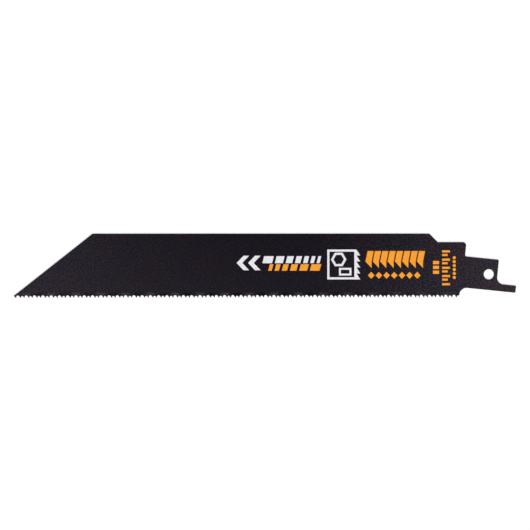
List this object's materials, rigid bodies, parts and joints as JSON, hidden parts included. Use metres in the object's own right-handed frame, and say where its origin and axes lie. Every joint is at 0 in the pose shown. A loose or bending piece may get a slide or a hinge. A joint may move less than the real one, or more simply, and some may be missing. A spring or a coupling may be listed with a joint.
{
  "type": "reciprocating saw blade",
  "caption": "Flat black reciprocating saw blade with a slanted nose, fine teeth in a wavy set, and a narrow leaning shank with a round locking hole.",
  "frame": {"origin": "centre of the shank hole, halfway through the sheet", "axes": "+X along the blade towards the end of the shank, +Y square to that towards the back edge, +Z square to the sheet"},
  "size_m": [0.1972, 0.0252, 0.0012],
  "materials": {
    "black_coating": "satin black baked coating with a fine grain",
    "white_ink": "matt printed ink",
    "orange_ink": "matt printed ink"
  },
  "bodies": {
    "root": {"saw_blade": "black_coating"}
  },
  "joints": []
}
